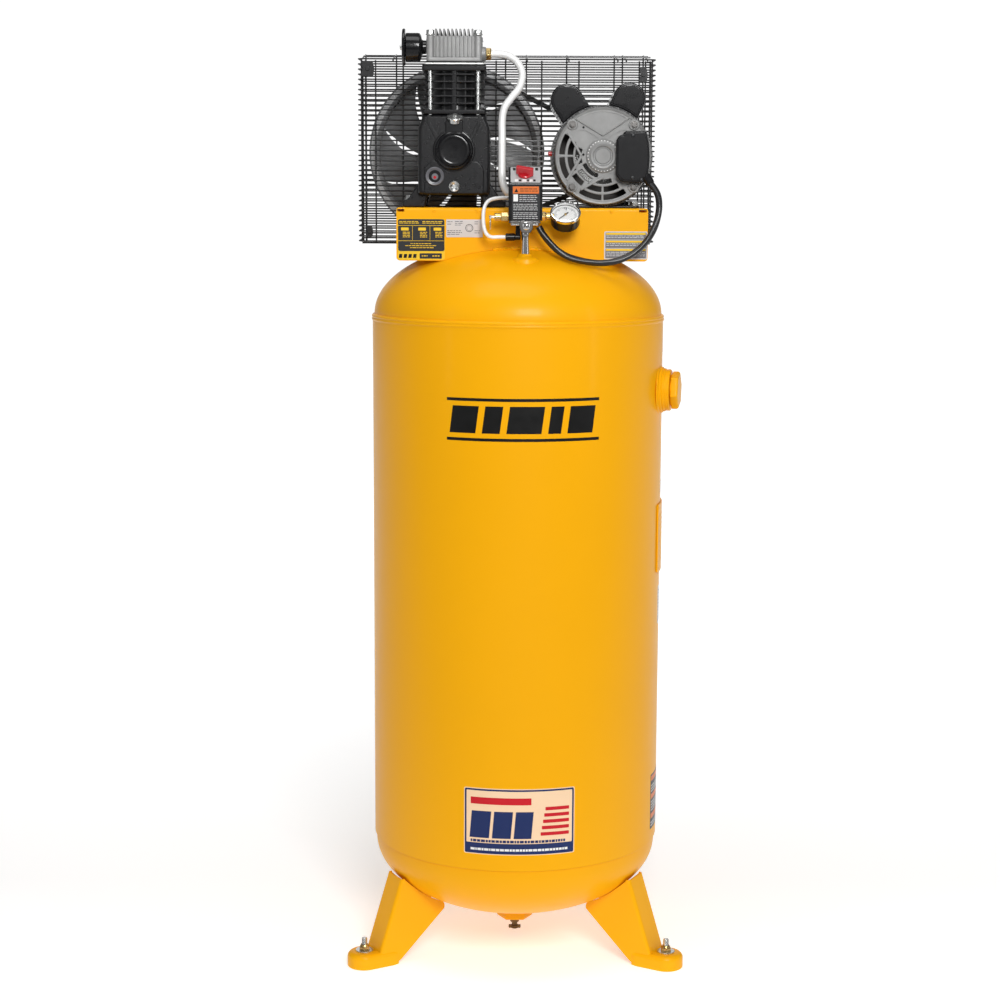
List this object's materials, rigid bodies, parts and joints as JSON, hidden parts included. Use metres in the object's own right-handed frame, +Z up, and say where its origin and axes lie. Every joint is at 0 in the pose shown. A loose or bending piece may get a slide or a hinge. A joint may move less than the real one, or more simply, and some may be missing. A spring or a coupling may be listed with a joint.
{
  "type": "vertical tank compressor",
  "caption": "Upright cylindrical air receiver on splayed legs, with a belt-driven finned pump, motor and wire belt guard on top, and a pressure switch with gauge.",
  "frame": {"origin": "the point where the tank's vertical axis meets the floor, at the centre of the circle through the three feet", "axes": "+Z up along the tank, -Y towards the front where the switch and gauge are, +X to the right as seen from the front"},
  "size_m": [0.59, 0.5916, 1.621],
  "materials": {
    "yellow_paint": "gloss yellow enamel",
    "black_iron": "black enamel over a rough casting",
    "black_plastic": "moulded, fine grain",
    "black_wire": "semi-gloss black coating",
    "dark_wheel": "dark grey paint over a casting",
    "bare_aluminium": "die cast and drawn",
    "zinc_steel": "zinc plated",
    "machined_steel": "machined and oiled",
    "brass": "turned",
    "motor_paint": "textured grey brown paint",
    "red_plastic": "moulded",
    "belt_rubber": "woven cover",
    "lead_rubber": "ribbed jacket",
    "clear_lens": "clear",
    "filter_paper": "pleated paper",
    "gauge_black": "black case with a bright bezel",
    "sight_glass": "black bezel with a red dot"
  },
  "bodies": {
    "root": {"tank_shell": "yellow_paint", "tank_head_top": "yellow_paint", "tank_head_bottom": "yellow_paint", "leg_front_left": "yellow_paint", "leg_front_right": "yellow_paint", "leg_rear": "yellow_paint", "foot_bolts": "zinc_steel", "deck": "yellow_paint", "weld_bungs": "yellow_paint", "outlet_bung": "yellow_paint", "inspection_plug": "yellow_paint", "drain_valve": "brass", "name_plate": "yellow_paint", "crankcase": "black_iron", "bearing_cover": "black_iron", "sight_glass": "sight_glass", "oil_plugs": "zinc_steel", "crank_bearings": "machined_steel", "cylinder_block": "black_iron", "pump_bolts": "zinc_steel", "valve_plate": "bare_aluminium", "cylinder_head": "bare_aluminium", "pistons": "bare_aluminium", "filter_base": "black_plastic", "filter_cover": "black_plastic", "filter_element": "filter_paper", "discharge_tube": "bare_aluminium", "tube_fittings": "brass", "check_valve": "brass", "unloader_tube": "bare_aluminium", "motor_shell": "motor_paint", "motor_end_front": "bare_aluminium", "motor_end_rear": "bare_aluminium", "stator": "machined_steel", "capacitor_covers": "black_plastic", "capacitors": "bare_aluminium", "terminal_cover": "black_plastic", "motor_base": "black_iron", "motor_bolts": "zinc_steel", "belt": "belt_rubber", "guard_front": "black_wire", "guard_basket": "black_wire", "switch_nipple": "zinc_steel", "switch_base": "zinc_steel", "switch_cover": "black_plastic", "gauge_case": "gauge_black", "gauge_lens": "clear_lens", "safety_valve": "brass", "motor_lead": "lead_rubber"},
    "crank": {"crankshaft": "machined_steel", "flywheel": "dark_wheel"},
    "rods": {"connecting_rods": "bare_aluminium"},
    "motor_rotor": {"rotor": "machined_steel", "motor_pulley": "dark_wheel"},
    "switch_knob": {"switch_lever": "red_plastic"},
    "safety_pull_ring": {"safety_ring": "zinc_steel"},
    "drain_tap": {"drain_knob": "brass"},
    "gauge_pointer": {"gauge_needle": "red_plastic"},
    "overload_button": {"reset_button": "red_plastic"},
    "check_valve_poppet": {"check_poppet": "machined_steel"}
  },
  "joints": [
    {"name": "crank_spin", "type": "hinge", "parent": "root", "child": "crank", "pos_m": [-0.11, 0, 1.415], "axis": [0, 1, 0], "continuous": true},
    {"name": "rod_swing", "type": "hinge", "parent": "crank", "child": "rods", "pos_m": [-0.11, 0, 1.44], "axis": [0, 1, 0], "continuous": true},
    {"name": "motor_spin", "type": "hinge", "parent": "root", "child": "motor_rotor", "pos_m": [0.141, 0, 1.407], "axis": [0, 1, 0], "continuous": true},
    {"name": "switch_turn", "type": "hinge", "parent": "root", "child": "switch_knob", "pos_m": [0.009, -0.1665, 1.373], "axis": [0, -0.5446, 0.8387], "range_deg": [0, 90]},
    {"name": "safety_pull", "type": "slide", "parent": "root", "child": "safety_pull_ring", "axis": [-1, 0, 0], "range_m": [0, 0.004], "stiffness_N_per_m": 1500, "springref_m": -0.003},
    {"name": "drain_turn", "type": "hinge", "parent": "root", "child": "drain_tap", "pos_m": [0, 0, 0.015], "axis": [0, 0, 1], "range_deg": [0, 270]},
    {"name": "gauge_sweep", "type": "hinge", "parent": "root", "child": "gauge_pointer", "pos_m": [0.077, -0.16, 1.314], "axis": [0, 0.6691, -0.7431], "range_deg": [0, 270], "stiffness_Nm_per_rad": 0.0005, "springref_deg": -17.19},
    {"name": "reset_press", "type": "slide", "parent": "root", "child": "overload_button", "axis": [1, 0, 0], "range_m": [0, 0.002], "stiffness_N_per_m": 800, "springref_m": -0.002},
    {"name": "poppet_lift", "type": "slide", "parent": "root", "child": "check_valve_poppet", "axis": [0, 0, -1], "range_m": [0, 0.003], "stiffness_N_per_m": 500, "springref_m": -0.004}
  ],
  "couplings": [
    {"joint": "rod_swing", "follows": "crank_spin", "ratio": -1},
    {"joint": "motor_spin", "follows": "crank_spin", "ratio": 3.561}
  ]
}
